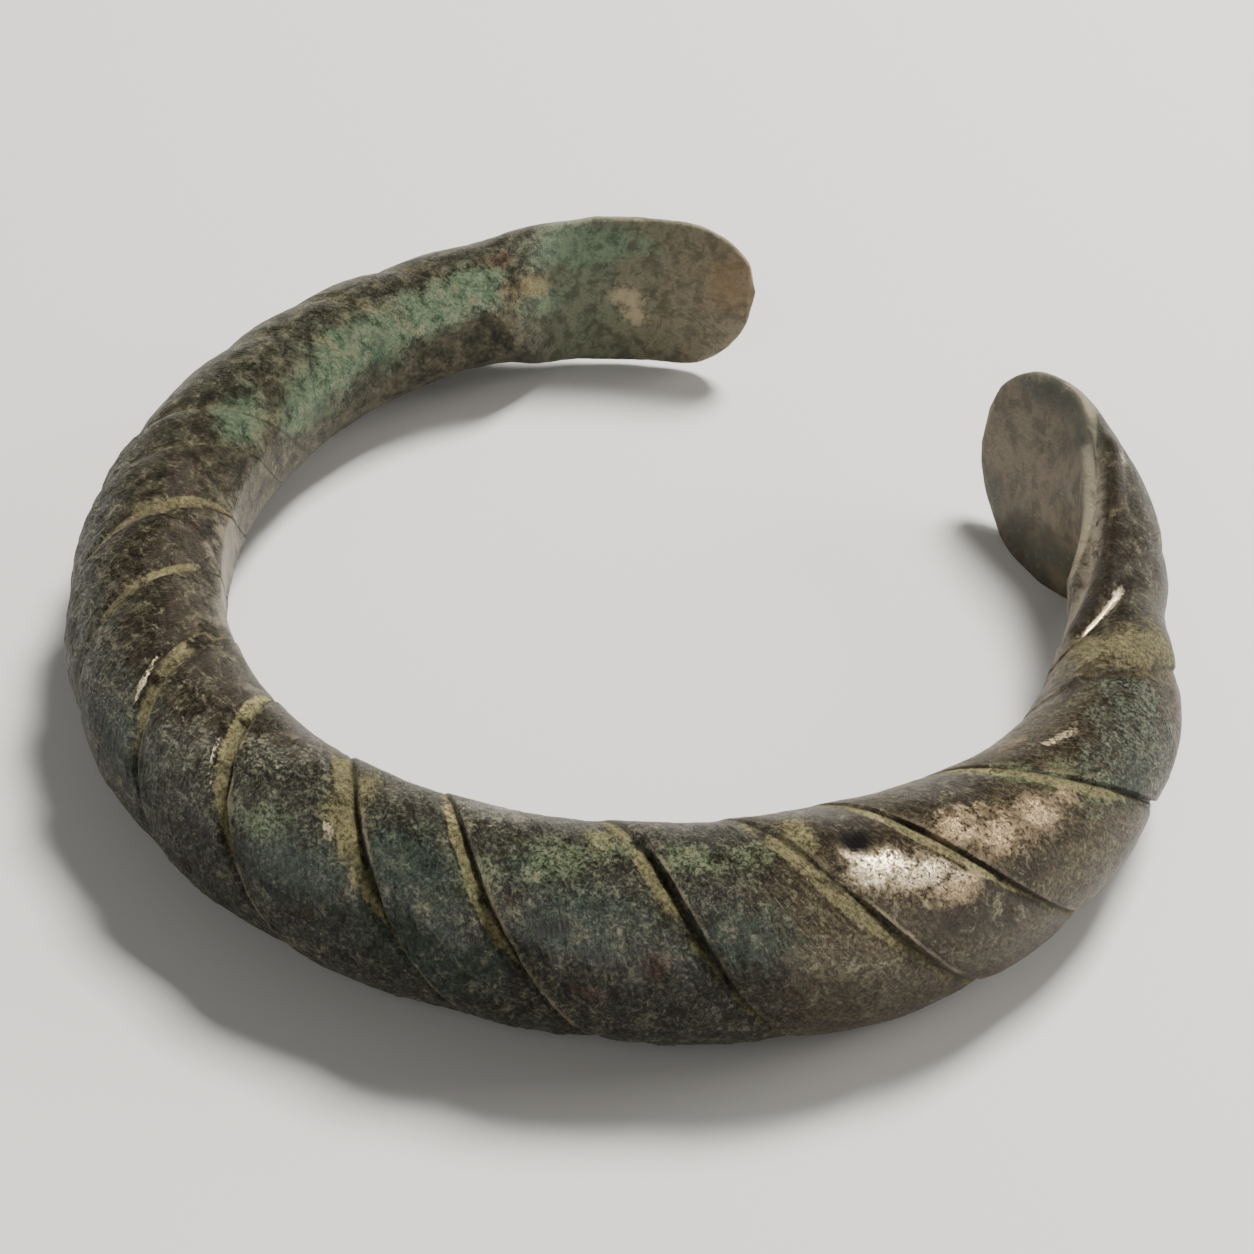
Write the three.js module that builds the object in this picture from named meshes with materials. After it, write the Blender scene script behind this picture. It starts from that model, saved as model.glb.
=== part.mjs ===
// Twisted bangle: an open ring of three-ridged copper alloy bar, twisted along its length and bent
// round to fit a wrist. Each end is hammered out into a thin paddle that stands on edge by the gap.
// The ring lies flat with its gap towards +Y. Lengths are in millimetres, angles in degrees, and
// a place along the bar is its distance from the nearer tip unless its comment says otherwise.
import * as THREE from 'three';

// Plan of the ring, along the middle of the bar
const RING_RADIUS = 30.8;
const RING_OVAL = 1.1;
const RING_OVAL_AIM = 5;
const RING_CORNER = 0.6;
const RING_CORNER_AIM = 6.5;
const GAP_WIDTH = 21;

// Bar, thin behind each paddle and thickest opposite the gap
const RIGHT_NECK_RADIUS = 3.5;
const RIGHT_NECK_AT = 13.8;
const THICKEST_RADIUS = 6.45;
const THICKEST_AT = 57;
const LEFT_NECK_RADIUS = 4.3;
const LEFT_NECK_AT = 24;
const SEAM_STEP = 0.6;
const WORN_SEAM_STEP = 0.1;
const INNER_WEAR = 0.5;
const UNDERSIDE_WEAR = 0.4;

// Twist, right-handed, tighter towards the left paddle
const TWIST_TURNS = 6;
const TWIST_TIGHTENING = 0.5;
const RIGHT_TWIST_AT = 12.5;
const RIGHT_TWIST_EASE = 6;
const LEFT_TWIST_AT = 16.7;
const LEFT_TWIST_EASE = 4;

// Right paddle
const RIGHT_PADDLE_HEIGHT = 13.9;
const RIGHT_PADDLE_EDGE = 1.4;
const RIGHT_PADDLE_THICKENING = 0.36;
const RIGHT_PADDLE_FLAT = 6.2;
const RIGHT_PADDLE_ROOT = 21;
const RIGHT_PADDLE_ROUNDING = 7.1;
const RIGHT_PADDLE_LEAN = 14;
const RIGHT_PADDLE_LIFT = 0.25;
const RIGHT_TIP_LIFT = 1.2;

// Left paddle
const LEFT_PADDLE_HEIGHT = 12.1;
const LEFT_PADDLE_EDGE = 1.2;
const LEFT_PADDLE_THICKENING = 0.06;
const LEFT_PADDLE_FLAT = 11.5;
const LEFT_PADDLE_ROOT = 21.5;
const LEFT_PADDLE_ROUNDING = 6;
const LEFT_PADDLE_LEAN = 5;
const LEFT_PADDLE_LIFT = 0.35;
const LEFT_TIP_LIFT = 1.4;

// Each ridge, with its angle round the bar and, on a paddle, the edge or midrib that it becomes
const RIDGES = [
  { name: 'upper edge', onBar: 10, onPaddle: 0 },
  { name: 'lower edge', onBar: 161, onPaddle: 180 },
  { name: 'midrib', onBar: 250, onPaddle: 270 },
];

// Where a ridge runs ahead of the even twist, or lags, with distances taken from the right tip
const STRAYS = [
  { ridge: 'upper edge', at: 17.5, lead: -50, spread: 6 },
  { ridge: 'upper edge', at: 69, lead: 42, spread: 9 },
  { ridge: 'lower edge', at: 103, lead: -46, spread: 17 },
  { ridge: 'lower edge', at: 130, lead: 30, spread: 8 },
  { ridge: 'midrib', at: 143, lead: 20, spread: 8 },
];

// How finely the surface is faceted
const POINTS_PER_FACET = 9;
const SEAM_WALL = 0.04;
const PATH_STEPS = 2000;
const RINGS_PER_TIP = 8;
const RINGS_BETWEEN_TIPS = 152;

// How a bar's face falls between ridges: the share of the step that stands above the plain bar,
// and the shares of the way to the next ridge where the fall starts and ends
const CREST_SHARE = 0.4;
const FALL_STARTS = 0.1;
const FALL_ENDS = 0.85;

// How far round to the ring's inner side a ridge is fully worn, as the cosine of that angle
const FULLY_WORN = 0.8;

// Paddle outlines: powers that square off the inner face and hollow the slopes beside the midrib,
// and the share of the thickness that is left at the very tip
const FACE_SQUARENESS = 0.5;
const MIDRIB_HOLLOW = 1.25;
const TIP_THICKNESS = 0.35;

// Room for a paddle's inner side, as a share of its half height, that the wear doesn't reach
const PADDLE_CLEARANCE = 1.2;

const FULL_TURN = 360;
const UPRIGHT = 90;

const radians = THREE.MathUtils.degToRad;
const blend = THREE.MathUtils.smoothstep;
const mix = THREE.MathUtils.lerp;

// Zero well below the start, the plain distance well above it, and a quadratic ease between
function easedDistance(distance, ease) {
  if (distance < -ease) return 0;
  if (distance > ease) return distance;
  return (distance + ease) ** 2 / (4 * ease);
}

// Points along the middle of the bar, from the right tip clockwise to the left tip
function ringPath() {
  const halfGap = Math.asin(GAP_WIDTH / 2 / RING_RADIUS);
  const points = [];
  let along = 0;
  for (let i = 0; i <= PATH_STEPS; i += 1) {
    const angle = Math.PI / 2 - halfGap - (i / PATH_STEPS) * (2 * Math.PI - 2 * halfGap);
    const oval = RING_OVAL * Math.cos(2 * (angle - radians(RING_OVAL_AIM)));
    const corner = RING_CORNER * Math.cos(3 * (angle - radians(RING_CORNER_AIM)));
    const reach = RING_RADIUS + oval + corner;
    const point = new THREE.Vector3(reach * Math.cos(angle), reach * Math.sin(angle), 0);
    if (i > 0) along += point.distanceTo(points[i - 1].point);
    points.push({ along, point });
  }
  return points;
}

const path = ringPath();
const LENGTH = path[path.length - 1].along;

// The point at a distance from the right tip, with the direction that leads out of the ring
function station(along) {
  let i = 1;
  while (i < path.length - 1 && path[i].along < along) i += 1;
  const from = path[i - 1];
  const to = path[i];
  const share = (along - from.along) / (to.along - from.along);
  const point = from.point.clone().lerp(to.point, share);
  const tangent = to.point.clone().sub(from.point).normalize();
  return { point, outward: new THREE.Vector3(-tangent.y, tangent.x, 0) };
}

// Turn of the upper ridge about the bar, from straight up on one paddle to straight up on the other
function twistAt(along) {
  const twisted = LENGTH - RIGHT_TWIST_AT - LEFT_TWIST_AT;
  const started = easedDistance(along - RIGHT_TWIST_AT, RIGHT_TWIST_EASE);
  const share = 1 - easedDistance(twisted - started, LEFT_TWIST_EASE) / twisted;
  const tightened = share + (TWIST_TIGHTENING / 2) * share * (share - 1);
  return UPRIGHT + FULL_TURN * TWIST_TURNS * tightened;
}

function barRadiusAt(along) {
  if (along < THICKEST_AT) {
    return mix(RIGHT_NECK_RADIUS, THICKEST_RADIUS, blend(along, RIGHT_NECK_AT, THICKEST_AT));
  }
  const share = (along - THICKEST_AT) / (LENGTH - LEFT_NECK_AT - THICKEST_AT);
  return mix(THICKEST_RADIUS, LEFT_NECK_RADIUS, Math.min(share, 1));
}

function ridgeAngleAt(ridge, along) {
  const lead = STRAYS.filter((stray) => stray.ridge === ridge.name).reduce(
    (sum, stray) => sum + stray.lead * Math.exp(-(((along - stray.at) / stray.spread) ** 2)),
    0,
  );
  return ridge.onBar + lead;
}

// The paddle nearer to a place on the bar, with that place's distance from its tip
function paddleAt(along) {
  if (along < LENGTH / 2) {
    return {
      fromTip: along,
      height: RIGHT_PADDLE_HEIGHT,
      edge: RIGHT_PADDLE_EDGE,
      thickening: RIGHT_PADDLE_THICKENING,
      flat: RIGHT_PADDLE_FLAT,
      root: RIGHT_PADDLE_ROOT,
      rounding: RIGHT_PADDLE_ROUNDING,
      lean: RIGHT_PADDLE_LEAN,
      lift: RIGHT_PADDLE_LIFT,
      tipLift: RIGHT_TIP_LIFT,
    };
  }
  return {
    fromTip: LENGTH - along,
    height: LEFT_PADDLE_HEIGHT,
    edge: LEFT_PADDLE_EDGE,
    thickening: LEFT_PADDLE_THICKENING,
    flat: LEFT_PADDLE_FLAT,
    root: LEFT_PADDLE_ROOT,
    rounding: LEFT_PADDLE_ROUNDING,
    lean: LEFT_PADDLE_LEAN,
    lift: LEFT_PADDLE_LIFT,
    tipLift: LEFT_TIP_LIFT,
  };
}

// One closed outline round the bar. Behind each ridge the surface sinks to the foot of the next
// ridge's wall, so the ridges read as overlapping steps. The paddle's outline has a flat inner
// face between its edges and a low midrib outside.
function sectionAt(along) {
  const paddle = paddleAt(along);
  const bar = blend(paddle.fromTip, paddle.flat, paddle.root);
  const radius = barRadiusAt(along);
  const intoTip = Math.max(1 - paddle.fromTip / paddle.rounding, 0);
  const rounded = Math.sqrt(1 - intoTip ** 2);
  const halfHeight = (paddle.height / 2) * rounded;
  const thinning = mix(TIP_THICKNESS, 1, rounded);
  const innerThickness = (paddle.edge / 2) * thinning;
  const outerThickness = (paddle.edge / 2 + paddle.thickening * paddle.fromTip) * thinning;
  const turn = radians(twistAt(along) - paddle.lean * (1 - bar));
  const lift = (paddle.lift + paddle.tipLift * (1 - rounded)) * (1 - bar);
  const innerLimit = mix(-PADDLE_CLEARANCE * halfHeight, INNER_WEAR - radius, bar);
  const points = [];
  RIDGES.forEach((ridge, i) => {
    const next = RIDGES[(i + 1) % RIDGES.length];
    const wrap = i + 1 < RIDGES.length ? 0 : FULL_TURN;
    const barStart = ridgeAngleAt(ridge, along);
    const barEnd = ridgeAngleAt(next, along) + wrap;
    for (let k = 0; k < POINTS_PER_FACET; k += 1) {
      const share = (k / (POINTS_PER_FACET - 1)) * (1 - SEAM_WALL);
      const barAngle = radians(mix(barStart, barEnd, share));
      const inwards = blend(-Math.cos(barAngle + turn), 0, FULLY_WORN);
      const step = mix(SEAM_STEP, WORN_SEAM_STEP, inwards);
      const reach = radius + step * (CREST_SHARE - blend(share, FALL_STARTS, FALL_ENDS));
      const paddleAngle = radians(mix(ridge.onPaddle, next.onPaddle + wrap, share));
      const across = Math.sin(paddleAngle);
      const face =
        across >= 0
          ? innerThickness * across ** FACE_SQUARENESS
          : -outerThickness * (-across) ** MIDRIB_HOLLOW;
      const a = mix(halfHeight * Math.cos(paddleAngle), reach * Math.cos(barAngle), bar);
      const b = mix(face, reach * Math.sin(barAngle), bar);
      const out = a * Math.cos(turn) - b * Math.sin(turn);
      const up = a * Math.sin(turn) + b * Math.cos(turn) + lift;
      points.push({ out: Math.max(out, innerLimit), up });
    }
  });
  return points;
}

// Places of the rings of points, close together where the tips round off
function ringPlaces() {
  const places = [];
  const quarter = Math.PI / 2;
  for (let i = 1; i <= RINGS_PER_TIP; i += 1) {
    places.push(RIGHT_PADDLE_ROUNDING * (1 - Math.cos((quarter * i) / RINGS_PER_TIP)));
  }
  const span = LENGTH - RIGHT_PADDLE_ROUNDING - LEFT_PADDLE_ROUNDING;
  for (let i = 1; i < RINGS_BETWEEN_TIPS; i += 1) {
    places.push(RIGHT_PADDLE_ROUNDING + (span * i) / RINGS_BETWEEN_TIPS);
  }
  for (let i = RINGS_PER_TIP; i >= 1; i -= 1) {
    places.push(LENGTH - LEFT_PADDLE_ROUNDING * (1 - Math.cos((quarter * i) / RINGS_PER_TIP)));
  }
  return places;
}

// The closed skin, with one point at each tip
function bangleGeometry() {
  const positions = [];
  const indices = [];
  const places = ringPlaces();
  const around = RIDGES.length * POINTS_PER_FACET;
  places.forEach((along) => {
    const { point, outward } = station(along);
    sectionAt(along).forEach(({ out, up }) => {
      positions.push(point.x + outward.x * out, point.y + outward.y * out, up);
    });
  });
  const rightPole = places.length * around;
  const leftPole = rightPole + 1;
  const lastRing = (places.length - 1) * around;
  [0, LENGTH].forEach((tip) => {
    const { point } = station(tip);
    const { lift, tipLift } = paddleAt(tip);
    positions.push(point.x, point.y, lift + tipLift);
  });
  for (let i = 0; i < places.length - 1; i += 1) {
    for (let j = 0; j < around; j += 1) {
      const a = i * around + j;
      const b = i * around + ((j + 1) % around);
      indices.push(a, b, a + around, b, b + around, a + around);
    }
  }
  for (let j = 0; j < around; j += 1) {
    const next = (j + 1) % around;
    indices.push(rightPole, next, j, leftPole, lastRing + j, lastRing + next);
  }
  const geometry = new THREE.BufferGeometry();
  geometry.setAttribute('position', new THREE.Float32BufferAttribute(positions, 3));
  geometry.setIndex(indices);
  return geometry;
}

// Small flats worn on the lowest points, where the ring has rubbed on what it lay on
function wearUnderside(geometry) {
  const position = geometry.getAttribute('position');
  geometry.computeBoundingBox();
  const floor = geometry.boundingBox.min.z + UNDERSIDE_WEAR;
  for (let i = 0; i < position.count; i += 1) {
    position.setZ(i, Math.max(position.getZ(i), floor));
  }
}

// Puts the origin under the middle of the outer bounds, level with the underside
function settleOnOrigin(geometry) {
  geometry.computeBoundingBox();
  const { min, max } = geometry.boundingBox;
  geometry.translate(-(min.x + max.x) / 2, -(min.y + max.y) / 2, -min.z);
}

const geometry = bangleGeometry();
wearUnderside(geometry);
settleOnOrigin(geometry);
geometry.computeVertexNormals();

const patinatedCopperAlloy = new THREE.MeshStandardMaterial({
  color: 0x4d4a3c,
  roughness: 0.62,
  metalness: 0.35,
});
const bangle = new THREE.Mesh(geometry, patinatedCopperAlloy);
bangle.name = 'twisted_bangle';

const model = new THREE.Group();
model.add(bangle);

export default model;
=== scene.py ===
import math

import bpy
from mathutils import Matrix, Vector


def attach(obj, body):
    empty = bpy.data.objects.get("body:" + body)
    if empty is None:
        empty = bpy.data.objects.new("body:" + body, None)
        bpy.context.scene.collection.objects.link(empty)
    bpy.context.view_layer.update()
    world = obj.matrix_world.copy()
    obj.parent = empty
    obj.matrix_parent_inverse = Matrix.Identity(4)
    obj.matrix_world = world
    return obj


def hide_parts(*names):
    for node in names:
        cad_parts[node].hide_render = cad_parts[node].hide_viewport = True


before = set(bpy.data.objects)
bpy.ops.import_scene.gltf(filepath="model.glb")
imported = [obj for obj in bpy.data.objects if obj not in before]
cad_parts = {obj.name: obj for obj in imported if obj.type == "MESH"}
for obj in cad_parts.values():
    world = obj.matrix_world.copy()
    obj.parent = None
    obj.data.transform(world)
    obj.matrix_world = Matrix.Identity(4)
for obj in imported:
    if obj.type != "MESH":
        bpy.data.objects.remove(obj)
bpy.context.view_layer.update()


# The twisted bangle. A copper alloy bar with three ridges was twisted, bent round into an open
# ring, and its two ends were hammered out into thin paddles. Burial has left a dark patina with
# green crust and yellowish soil in the seams, and handling has rubbed the high places bare, with
# painted highlights on some of them.

# Sizes are in millimetres and angles in degrees. A place on it is given along the bar from the
# right tip, outwards from the middle of the bar, and up.
RINGS_ALONG = 680
POINTS_ROUND = 144
PATH_POINTS = 2001
MILLIMETRE = 0.001

BANGLE_SIZES = {
    "Ring radius": 30.8,
    "Ring oval": 1.1,
    "Ring oval aim": 5.0,
    "Ring corner": 0.6,
    "Ring corner aim": 6.5,
    "Gap width": 21.0,
    "Right neck radius": 3.3,
    "Right neck at": 16.0,
    "Thickest radius": 6.45,
    "Thickest at": 57.0,
    "Left neck radius": 4.3,
    "Left neck at": 24.0,
    "Seam step": 0.62,
    "Worn seam step": 0.12,
    "Pillow bulge": 0.30,
    "Crevice depth": 0.75,
    "Inner wear": 0.5,
    "Twist turns": 6.0,
    "Twist tightening": 0.5,
    "Right twist at": 12.5,
    "Right twist ease": 6.0,
    "Left twist at": 16.7,
    "Left twist ease": 4.0,
}
RIGHT_PADDLE = {
    "height": 13.9,
    "edge": 1.4,
    "thickening": 0.36,
    "flat": 6.2,
    "root": 21.0,
    "rounding": 7.1,
    "lean": 14.0,
    "lift": 0.25,
    "tip lift": 1.2,
}
LEFT_PADDLE = {
    "height": 12.1,
    "edge": 1.2,
    "thickening": 0.06,
    "flat": 11.5,
    "root": 21.5,
    "rounding": 6.0,
    "lean": 5.0,
    "lift": 0.35,
    "tip lift": 1.4,
}
# Each ridge, with its angle round the bar and, on a paddle, the edge or midrib that it becomes
RIDGES = [
    {"bar": 10.0, "paddle": 0.0},
    {"bar": 161.0, "paddle": 180.0},
    {"bar": 250.0, "paddle": 270.0},
]
# Where a ridge runs ahead of the even twist or behind it
STRAYS = [
    {"ridge": 0, "at": 16.0, "lead": -30.0, "spread": 4.0},
    {"ridge": 0, "at": 25.0, "lead": -95.0, "spread": 6.5},
    {"ridge": 1, "at": 23.0, "lead": -42.0, "spread": 5.2},
    {"ridge": 2, "at": 28.0, "lead": -30.0, "spread": 4.5},
    {"ridge": 0, "at": 69.0, "lead": 42.0, "spread": 9.0},
    {"ridge": 1, "at": 103.0, "lead": -46.0, "spread": 17.0},
    {"ridge": 1, "at": 130.0, "lead": 30.0, "spread": 8.0},
    {"ridge": 2, "at": 143.0, "lead": 20.0, "spread": 8.0},
]

# Stretches along the bar over which a form or a look comes or goes, in order from the right tip
STRETCHES = {
    "flat face begins": (9.0, 13.0),
    "rim wear ends": (10.0, 13.0),
    "paddle look ends": (11.0, 13.0),
    "face look ends": (21.0, 27.0),
    "seams open": (22.0, 28.0),
    "gold begins": (24.0, 30.0),
    "flat face ends": (27.0, 30.0),
    "crest wear begins": (27.0, 31.0),
    "soil begins": (31.0, 40.0),
    "crust begins": (56.0, 63.0),
    "gold ends": (57.0, 64.0),
    "seams deepen": (58.0, 68.0),
    "valleys widen": (64.0, 80.0),
    "left half begins": (80.0, 90.0),
    "crust turns outside": (84.0, 98.0),
    "soil darkens": (96.0, 104.0),
    "far limb begins": (112.0, 126.0),
    "seams ease": (118.0, 128.0),
    "soil thins": (119.0, 126.0),
    "crust ends": (120.0, 132.0),
    "far limb lightens": (126.0, 136.0),
    "seams wear away": (129.0, 136.0),
    "far tip begins": (160.0, 170.0),
}


class Field:
    """A number or vector that varies over the surface, held as an output of a node tree."""

    def __init__(self, tree, socket):
        self.tree = tree
        self.socket = socket

    def __add__(self, other):
        return calculate(self.tree, "ADD", self, other)

    def __sub__(self, other):
        return calculate(self.tree, "SUBTRACT", self, other)

    def __mul__(self, other):
        return calculate(self.tree, "MULTIPLY", self, other)

    def __truediv__(self, other):
        return calculate(self.tree, "DIVIDE", self, other)

    def __rsub__(self, other):
        return calculate(self.tree, "SUBTRACT", other, self)

    def __neg__(self):
        return self * -1.0

    __radd__ = __add__
    __rmul__ = __mul__


def plug(tree, value, socket):
    if isinstance(value, Field):
        tree.links.new(value.socket, socket)
    else:
        socket.default_value = value


def calculate(tree, operation, *values):
    node = tree.nodes.new("ShaderNodeMath")
    node.operation = operation
    for value, socket in zip(values, node.inputs):
        plug(tree, value, socket)
    return Field(tree, node.outputs[0])


def cosine(angle):
    return calculate(angle.tree, "COSINE", angle * math.radians(1.0))


def sine(angle):
    return calculate(angle.tree, "SINE", angle * math.radians(1.0))


def power(field, exponent):
    return calculate(field.tree, "POWER", field, exponent)


def larger(field, other):
    return calculate(field.tree, "MAXIMUM", field, other)


def smaller(field, other):
    return calculate(field.tree, "MINIMUM", field, other)


def above(field, level):
    return calculate(field.tree, "GREATER_THAN", field, level)


def share_of(field, start, end, rise="LINEAR"):
    """Nought at start and one at end."""
    node = field.tree.nodes.new("ShaderNodeMapRange")
    node.interpolation_type = rise
    for value, socket in zip((field, start, end, 0.0, 1.0), node.inputs):
        plug(field.tree, value, socket)
    return Field(field.tree, node.outputs[0])


def between(field, start, end):
    """Nought at start, one at end, with a smooth rise."""
    return share_of(field, start, end, "SMOOTHSTEP")


def past(field, stretch):
    """Nought before this stretch of the bar and one after it."""
    return between(field, *STRETCHES[stretch])


def hump(field, middle, spread):
    """One at the middle, and next to nought two spreads away."""
    off = (field - middle) / spread
    return calculate(field.tree, "EXPONENT", -(off * off))


def mix(start, end, share):
    return start + (end - start) * share


def vector_of(tree, x, y, z):
    node = tree.nodes.new("ShaderNodeCombineXYZ")
    for value, socket in zip((x, y, z), node.inputs):
        plug(tree, value, socket)
    return Field(tree, node.outputs[0])


def vector_maths(operation, first, second):
    node = first.tree.nodes.new("ShaderNodeVectorMath")
    node.operation = operation
    plug(first.tree, first, node.inputs[0])
    plug(first.tree, second, node.inputs["Scale"] if operation == "SCALE" else node.inputs[1])
    is_number = operation in ("DISTANCE", "LENGTH", "DOT_PRODUCT")
    return Field(first.tree, node.outputs["Value" if is_number else "Vector"])


def noise(place, scale, detail=2.0, roughness=0.5, distortion=0.0):
    """Soft noise about 0.5, with this many lumps to a unit of length."""
    node = place.tree.nodes.new("ShaderNodeTexNoise")
    plug(place.tree, place, node.inputs["Vector"])
    node.inputs["Scale"].default_value = scale
    node.inputs["Detail"].default_value = detail
    node.inputs["Roughness"].default_value = roughness
    node.inputs["Distortion"].default_value = distortion
    return Field(place.tree, node.outputs[0])


def eased(distance, ease):
    """The distance past nought, with a rounded start."""
    rounded = share_of(distance, -ease, ease)
    return rounded * rounded * ease + larger(distance - ease, 0.0)


bangle_tree = bpy.data.node_groups.new("Twisted bangle", "GeometryNodeTree")
bangle_tree.interface.new_socket(name="Geometry", in_out="OUTPUT", socket_type="NodeSocketGeometry")
socket_names = {}
for size_name in BANGLE_SIZES:
    added = bangle_tree.interface.new_socket(name=size_name, in_out="INPUT", socket_type="NodeSocketFloat")
    socket_names[size_name] = added.identifier
added = bangle_tree.interface.new_socket(name="Patina", in_out="INPUT", socket_type="NodeSocketMaterial")
socket_names["Patina"] = added.identifier
tree_start = bangle_tree.nodes.new("NodeGroupInput")
tree_end = bangle_tree.nodes.new("NodeGroupOutput")


def size(name):
    return Field(bangle_tree, tree_start.outputs[name])


def geometry_node(kind, geometry=None, **settings):
    node = bangle_tree.nodes.new(kind)
    for setting, value in settings.items():
        setattr(node, setting, value)
    if geometry is not None:
        bangle_tree.links.new(geometry, node.inputs[0])
    return node


def place_now():
    node = bangle_tree.nodes.new("GeometryNodeInputPosition")
    return Field(bangle_tree, node.outputs[0])


def axes_of(vector):
    node = vector.tree.nodes.new("ShaderNodeSeparateXYZ")
    plug(vector.tree, vector, node.inputs[0])
    return [Field(vector.tree, output) for output in node.outputs]


def keep(geometry, name, value, kind="FLOAT"):
    node = geometry_node("GeometryNodeStoreNamedAttribute", geometry, data_type=kind, domain="POINT")
    node.inputs["Name"].default_value = name
    plug(bangle_tree, value, node.inputs["Value"])
    return node.outputs["Geometry"]


def kept(name, kind="FLOAT"):
    node = geometry_node("GeometryNodeInputNamedAttribute", data_type=kind)
    node.inputs["Name"].default_value = name
    return Field(bangle_tree, node.outputs["Attribute"])


# The middle of the bar, from the right tip round to the left one
line = geometry_node("GeometryNodeCurvePrimitiveLine")
fine_line = geometry_node("GeometryNodeResampleCurve", line.outputs[0])
fine_line.inputs["Count"].default_value = PATH_POINTS
way = Field(bangle_tree, geometry_node("GeometryNodeSplineParameter").outputs["Factor"])
half_gap = calculate(bangle_tree, "ARCSINE", size("Gap width") * 0.5 / size("Ring radius"))
half_gap = half_gap * math.degrees(1.0)
path_angle = 90.0 - half_gap - way * (360.0 - 2.0 * half_gap)
path_reach = (
    size("Ring radius")
    + size("Ring oval") * cosine(2.0 * (path_angle - size("Ring oval aim")))
    + size("Ring corner") * cosine(3.0 * (path_angle - size("Ring corner aim")))
)
path = geometry_node("GeometryNodeSetPosition", fine_line.outputs[0])
path_place = vector_of(bangle_tree, path_reach * cosine(path_angle), path_reach * sine(path_angle), 0.0)
plug(bangle_tree, path_place, path.inputs["Position"])
path_length = geometry_node("GeometryNodeCurveLength", path.outputs[0])
length = Field(bangle_tree, path_length.outputs[0])

# A sheet of points, wrapped round the bar and closer together at the tips and at the seams
TIP_SHARE = 0.05
SEAM_CROWDING = 0.62
grid = geometry_node("GeometryNodeMeshGrid")
grid.inputs["Vertices X"].default_value = RINGS_ALONG
grid.inputs["Vertices Y"].default_value = POINTS_ROUND + 1
grid_x, grid_y, _ = axes_of(place_now())
across_sheet = grid_x + 0.5
round_sheet = grid_y + 0.5
right_tip = 1.0 - cosine(90.0 * share_of(across_sheet, 0.0, TIP_SHARE))
left_tip = 1.0 - cosine(90.0 * share_of(across_sheet, 1.0, 1.0 - TIP_SHARE))
middle = share_of(across_sheet, TIP_SHARE, 1.0 - TIP_SHARE)
right_rounding = RIGHT_PADDLE["rounding"]
left_rounding = LEFT_PADDLE["rounding"]
along = (
    right_tip * right_rounding
    + middle * (length - (right_rounding + left_rounding))
    + (1.0 - left_tip) * left_rounding
)
FACETS = len(RIDGES)
JUST_UNDER_ONE_FACET = 0.00001
facet_place = smaller(round_sheet * FACETS, FACETS - JUST_UNDER_ONE_FACET)
facet = calculate(bangle_tree, "FLOOR", facet_place)
facet_way = smaller(round_sheet * FACETS - facet, 1.0)
share = facet_way - sine(360.0 * facet_way) * (SEAM_CROWDING / (2.0 * math.pi))

# Which paddle a point is nearer to, and how far it is from that tip
is_right = above(length * 0.5, along)
from_tip = smaller(along, length - along)
paddle = {name: mix(LEFT_PADDLE[name], RIGHT_PADDLE[name], is_right) for name in RIGHT_PADDLE}
bar = between(from_tip, paddle["flat"], paddle["root"])
into_tip = larger(1.0 - from_tip / paddle["rounding"], 0.0)
rounded = power(larger(1.0 - into_tip * into_tip, 0.0), 0.5)

# Twist and thickness of the bar
twisted = length - size("Right twist at") - size("Left twist at")
started = eased(along - size("Right twist at"), size("Right twist ease"))
twist_share = 1.0 - eased(twisted - started, size("Left twist ease")) / twisted
tightened = twist_share + size("Twist tightening") * 0.5 * twist_share * (twist_share - 1.0)
twist = 90.0 + 360.0 * size("Twist turns") * tightened
thickening = between(along, size("Right neck at"), size("Thickest at"))
thinning = share_of(along, size("Thickest at"), length - size("Left neck at"))
radius = (
    mix(size("Right neck radius"), size("Thickest radius"), thickening)
    + (size("Left neck radius") - size("Thickest radius")) * thinning
)

# The three ridges. Each wavers a little, as a hand-twisted bar does.
WAVER_ANGLE = 7.0
WAVERS_PER_MM = 0.22
WAVERS_APART = 40.0
ridge_angles = []
for number, ridge in enumerate(RIDGES):
    waver = noise(vector_of(bangle_tree, along, WAVERS_APART * number, 0.0), WAVERS_PER_MM, 3.0)
    angle = ridge["bar"] + (waver - 0.5) * WAVER_ANGLE
    for stray in STRAYS:
        if stray["ridge"] == number:
            angle = angle + stray["lead"] * hump(along, stray["at"], stray["spread"])
    ridge_angles.append(angle)
ridge_angles.append(ridge_angles[0] + 360.0)
is_second = above(facet, 0.5)
is_third = above(facet, 1.5)


def of_facet(values):
    first, second, third = values
    return first + is_second * (second - first) + is_third * (third - second)


bar_angle = mix(of_facet(ridge_angles[:3]), of_facet(ridge_angles[1:]), share)
paddle_edges = [ridge["paddle"] for ridge in RIDGES] + [RIDGES[0]["paddle"] + 360.0]
paddle_angle = mix(of_facet(paddle_edges[:3]), of_facet(paddle_edges[1:]), share)
turn = twist - paddle["lean"] * (1.0 - bar)

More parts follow.
